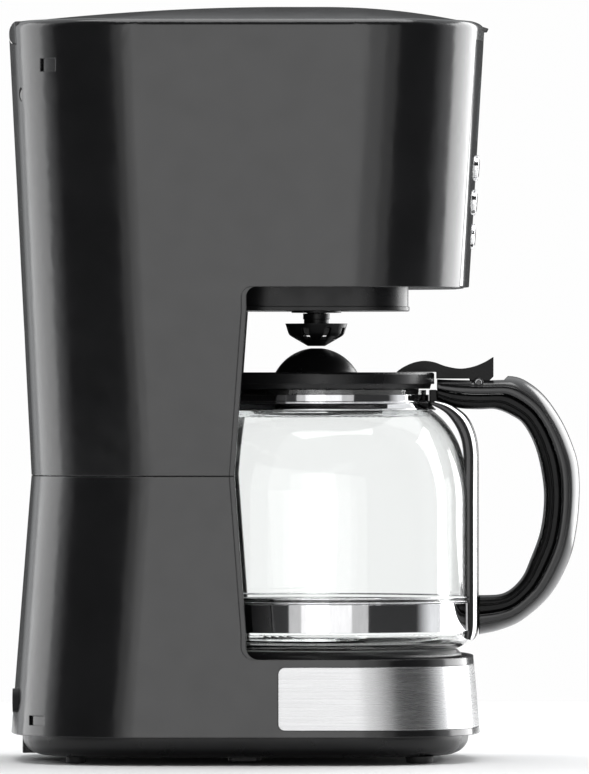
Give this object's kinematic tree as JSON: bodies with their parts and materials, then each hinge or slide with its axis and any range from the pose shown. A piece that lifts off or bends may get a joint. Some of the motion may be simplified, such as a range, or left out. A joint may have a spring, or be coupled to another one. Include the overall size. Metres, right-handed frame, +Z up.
{
  "type": "drip coffee maker",
  "caption": "Drip coffee maker with hourglass housing, hinged top lid, lift-out filter basket, warming plate and glass carafe with hinged lid.",
  "frame": {"origin": "middle of the overall footprint, on the surface the feet stand on", "axes": "+X towards the front and the carafe handle, +Y towards the machine's left flank, +Z up"},
  "size_m": [0.2659, 0.19, 0.3497],
  "materials": {
    "black_gloss": "glossy",
    "black_panel": "glossy",
    "black_matte": "fine satin",
    "brushed_steel": "brushed along its length",
    "polished_steel": "polished",
    "plate_coating": "non-stick coating",
    "glass": "clear",
    "display_glass": "clear smoked",
    "button_black": "satin",
    "rubber": "matt",
    "silicone": "matt",
    "tank_plastic": "translucent satin",
    "screw_steel": "plated",
    "heater_aluminium": "extruded",
    "mesh_nylon": "fine mesh",
    "circuit_board": "solder mask",
    "component_black": "satin",
    "wire_sleeve": "woven sleeve"
  },
  "bodies": {
    "machine": {"upper_housing": "black_gloss", "lower_housing": "black_gloss", "steel_trim_band": "brushed_steel", "column_panel": "black_matte", "control_panel": "black_panel", "lid_hinge_pins": "screw_steel", "water_tank": "tank_plastic", "top_deck": "black_matte", "riser_tube": "tank_plastic", "outlet_nozzle": "rubber", "warming_plate": "plate_coating", "plate_gasket": "silicone", "heater_water_tube": "heater_aluminium", "heating_element": "heater_aluminium", "heater_clamp": "screw_steel", "thermostat": "screw_steel", "thermal_fuses": "screw_steel", "check_valve": "tank_plastic", "inlet_hose": "silicone", "outlet_hose": "silicone", "hose_clips": "screw_steel", "brew_chamber": "black_matte", "control_board": "circuit_board", "button_bezels": "polished_steel", "switches": "component_black", "display_window": "display_glass", "display_module": "component_black", "base_tray": "black_matte", "rubber_feet": "rubber", "base_screws": "screw_steel", "power_board": "circuit_board", "cord_gland": "rubber", "wire_loom": "wire_sleeve"},
    "lid": {"top_lid": "black_gloss", "spreader": "black_matte", "lid_water_duct": "black_matte"},
    "basket": {"filter_basket": "black_matte", "mesh_filter": "mesh_nylon"},
    "drip_valve": {"drip_valve_cup": "black_matte", "valve_seal": "rubber", "valve_spring": "screw_steel"},
    "carafe": {"carafe_glass": "glass", "carafe_lower_band": "polished_steel", "carafe_neck_band": "polished_steel", "handle_strap": "black_matte", "handle_shell": "black_gloss", "handle_insert": "black_matte", "handle_screws": "screw_steel", "lid_pivot_pin": "screw_steel"},
    "carafe_top": {"carafe_lid": "black_matte", "carafe_lid_dome": "black_matte", "thumb_lever": "black_matte"},
    "check_ball": {"check_ball": "tank_plastic"},
    "button_1": {"button_1": "button_black"},
    "button_2": {"button_2": "button_black"},
    "button_3": {"button_3": "button_black"},
    "button_4": {"button_4": "button_black"},
    "button_5": {"button_5": "button_black"}
  },
  "joints": [
    {"name": "lid_hinge", "type": "hinge", "parent": "machine", "child": "lid", "pos_m": [-0.1277, 0, 0.3367], "axis": [0, -1, 0], "range_deg": [0, 95]},
    {"name": "basket_lift", "type": "slide", "parent": "machine", "child": "basket", "axis": [0, 0, 1], "range_m": [0, 0.12]},
    {"name": "drip_valve_drop", "type": "slide", "parent": "basket", "child": "drip_valve", "axis": [0, 0, 1], "range_m": [-0.003, 0], "deforming": ["valve_spring"]},
    {"name": "carafe_slide", "type": "slide", "parent": "machine", "child": "carafe", "axis": [1, 0, 0], "range_m": [0, 0.45]},
    {"name": "carafe_lid_hinge", "type": "hinge", "parent": "carafe", "child": "carafe_top", "pos_m": [0.0857, 0, 0.1751], "axis": [0, 1, 0], "range_deg": [0, 33]},
    {"name": "check_ball_lift", "type": "slide", "parent": "machine", "child": "check_ball", "axis": [0, 0, 1], "range_m": [0, 0.002]},
    {"name": "button_1_press", "type": "slide", "parent": "machine", "child": "button_1", "axis": [-0.9982, 0, 0.0599], "range_m": [0, 0.001], "stiffness_N_per_m": 400, "springref_m": -0.001},
    {"name": "button_2_press", "type": "slide", "parent": "machine", "child": "button_2", "axis": [-0.9982, 0, 0.0599], "range_m": [0, 0.001], "stiffness_N_per_m": 400, "springref_m": -0.001},
    {"name": "button_3_press", "type": "slide", "parent": "machine", "child": "button_3", "axis": [-0.9982, 0, 0.0599], "range_m": [0, 0.001], "stiffness_N_per_m": 400, "springref_m": -0.001},
    {"name": "button_4_press", "type": "slide", "parent": "machine", "child": "button_4", "axis": [-0.9982, 0, 0.0599], "range_m": [0, 0.001], "stiffness_N_per_m": 400, "springref_m": -0.001},
    {"name": "button_5_press", "type": "slide", "parent": "machine", "child": "button_5", "axis": [-0.9982, 0, 0.0599], "range_m": [0, 0.001], "stiffness_N_per_m": 400, "springref_m": -0.001}
  ],
  "couplings": [
    {"joint": "basket_lift", "follows": "lid_hinge", "m_per_rad": 0.07232},
    {"joint": "drip_valve_drop", "follows": "carafe_slide", "ratio": -0.00666},
    {"joint": "carafe_lid_hinge", "follows": "carafe_slide", "rad_per_m": 1.279}
  ]
}
